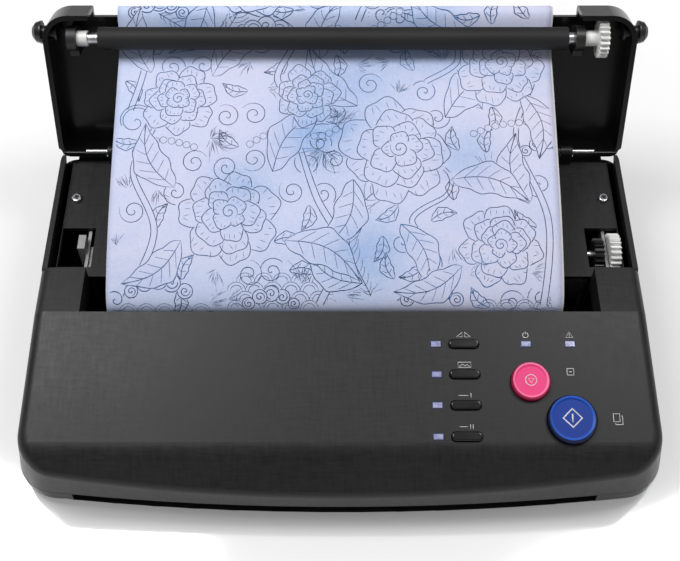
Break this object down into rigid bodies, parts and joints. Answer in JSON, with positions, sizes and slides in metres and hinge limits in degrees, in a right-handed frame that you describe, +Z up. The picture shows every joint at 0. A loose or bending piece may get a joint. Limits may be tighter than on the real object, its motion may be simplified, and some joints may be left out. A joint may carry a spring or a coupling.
{
  "type": "thermal stencil copier",
  "caption": "Desktop thermal copier with a sloping key panel, front feed slot and a hinged rear lid that holds a platen roller, stood open with a sheet threaded under the lid.",
  "frame": {"origin": "on the table under the middle of the whole machine as it stands open", "axes": "+X to the user's right along the roller, +Y to the rear, +Z up"},
  "size_m": [0.2984, 0.2206, 0.1223],
  "materials": {
    "casing": "fine brushed grain, satin",
    "lid": "glossy",
    "steel": "brushed",
    "rubber": "smooth dark rubber",
    "feet": "matte",
    "nylon_white": "smooth",
    "nylon_black": "smooth",
    "key_black": "glossy",
    "key_pink": "satin",
    "key_blue": "satin",
    "lens": "clear",
    "glass": "clear",
    "board": "solder mask",
    "coil": "varnished",
    "motor": "plated can",
    "ceramic": "anodised",
    "strip": "glazed",
    "brass": "plain",
    "sheet": "thin matte paper"
  },
  "bodies": {
    "base": {"front_cover": "casing", "bottom_tub": "casing", "deck_panel": "casing", "hinge_rod": "steel", "inner_gear_plate": "steel", "outer_gear_plate": "steel", "drive_motor": "motor", "left_bearing_plate": "steel", "head_channel": "steel", "head_heat_sink": "ceramic", "thermal_strip": "strip", "left_platen_seat": "nylon_white", "sensor_glass": "glass", "image_sensor": "nylon_black", "left_scan_plate": "steel", "right_scan_plate": "steel", "scan_motor_plate": "steel", "scan_motor": "motor", "mode_lamp_lenses": "lens", "status_lamp_lenses": "lens", "panel_board": "board", "key_switches": "nylon_black", "board_spacers": "nylon_white", "main_board": "board", "power_board": "board", "transformer": "coil", "power_inlet": "nylon_black", "inlet_pins": "brass", "data_socket": "steel", "switch_frame": "nylon_black", "rubber_feet": "feet", "case_screws": "steel", "deck_screws": "steel", "stencil_sheet": "sheet"},
    "lid": {"lid_shell": "lid", "left_platen_bush": "nylon_white", "left_platen_bracket": "nylon_black", "right_platen_bracket": "nylon_black"},
    "platen": {"platen_shaft": "steel", "platen_rubber": "rubber", "platen_gear": "nylon_white"},
    "left_latch": {"left_lid_latch": "nylon_black"},
    "right_latch": {"right_lid_latch": "nylon_black"},
    "drive_train": {"small_drive_gear": "nylon_black", "large_drive_gear": "nylon_white", "drive_gear_shaft": "steel"},
    "drive_pinion": {"drive_motor_pinion": "brass"},
    "scan_roll": {"scan_roller": "nylon_white", "scan_roller_shaft": "steel", "scan_roller_gear": "nylon_white"},
    "scan_pinion": {"scan_motor_gear": "nylon_white"},
    "key_1": {"mode_key_1": "key_black"},
    "key_2": {"mode_key_2": "key_black"},
    "key_3": {"mode_key_3": "key_black"},
    "key_4": {"mode_key_4": "key_black"},
    "stop_key": {"stop_button": "key_pink"},
    "copy_key": {"copy_button": "key_blue"},
    "rocker": {"switch_rocker": "key_black"}
  },
  "joints": [
    {"name": "lid_hinge", "type": "hinge", "parent": "base", "child": "lid", "pos_m": [0, 0.06275, 0.057], "axis": [1, 0, 0], "range_deg": [0, 113.5], "deforming": ["stencil_sheet"]},
    {"name": "platen_spin", "type": "hinge", "parent": "lid", "child": "platen", "pos_m": [0, 0.08974, 0.10905], "axis": [1, 0, 0], "continuous": true},
    {"name": "left_latch_push", "type": "slide", "parent": "lid", "child": "left_latch", "axis": [1, 0, 0], "range_m": [0, 0.0012], "stiffness_N_per_m": 300, "springref_m": -0.001},
    {"name": "right_latch_push", "type": "slide", "parent": "lid", "child": "right_latch", "axis": [-1, 0, 0], "range_m": [0, 0.0012], "stiffness_N_per_m": 300, "springref_m": -0.001},
    {"name": "drive_spin", "type": "hinge", "parent": "base", "child": "drive_train", "pos_m": [0, 0.00825, 0.04386], "axis": [1, 0, 0], "continuous": true},
    {"name": "drive_pinion_spin", "type": "hinge", "parent": "base", "child": "drive_pinion", "pos_m": [0, 0.00825, 0.02986], "axis": [1, 0, 0], "continuous": true},
    {"name": "scan_spin", "type": "hinge", "parent": "base", "child": "scan_roll", "pos_m": [0, -0.07625, 0.0095], "axis": [1, 0, 0], "continuous": true},
    {"name": "scan_pinion_spin", "type": "hinge", "parent": "base", "child": "scan_pinion", "pos_m": [0, -0.07625, 0.01725], "axis": [1, 0, 0], "continuous": true},
    {"name": "key_1_press", "type": "slide", "parent": "base", "child": "key_1", "axis": [0, 0.2453, -0.9694], "range_m": [0, 0.001], "stiffness_N_per_m": 300, "springref_m": -0.0004},
    {"name": "key_2_press", "type": "slide", "parent": "base", "child": "key_2", "axis": [0, 0.2453, -0.9694], "range_m": [0, 0.001], "stiffness_N_per_m": 300, "springref_m": -0.0004},
    {"name": "key_3_press", "type": "slide", "parent": "base", "child": "key_3", "axis": [0, 0.2453, -0.9694], "range_m": [0, 0.001], "stiffness_N_per_m": 300, "springref_m": -0.0004},
    {"name": "key_4_press", "type": "slide", "parent": "base", "child": "key_4", "axis": [0, 0.2453, -0.9694], "range_m": [0, 0.001], "stiffness_N_per_m": 300, "springref_m": -0.0004},
    {"name": "stop_press", "type": "slide", "parent": "base", "child": "stop_key", "axis": [0, 0.2453, -0.9694], "range_m": [0, 0.001], "stiffness_N_per_m": 300, "springref_m": -0.0004},
    {"name": "copy_press", "type": "slide", "parent": "base", "child": "copy_key", "axis": [0, 0.2453, -0.9694], "range_m": [0, 0.001], "stiffness_N_per_m": 300, "springref_m": -0.0004},
    {"name": "rocker_tilt", "type": "hinge", "parent": "base", "child": "rocker", "pos_m": [0.102, 0.06225, 0.026], "axis": [1, 0, 0], "range_deg": [0, 16]}
  ],
  "couplings": [
    {"joint": "drive_pinion_spin", "follows": "drive_spin", "ratio": -2.1818},
    {"joint": "scan_pinion_spin", "follows": "scan_spin", "ratio": -0.72222}
  ]
}
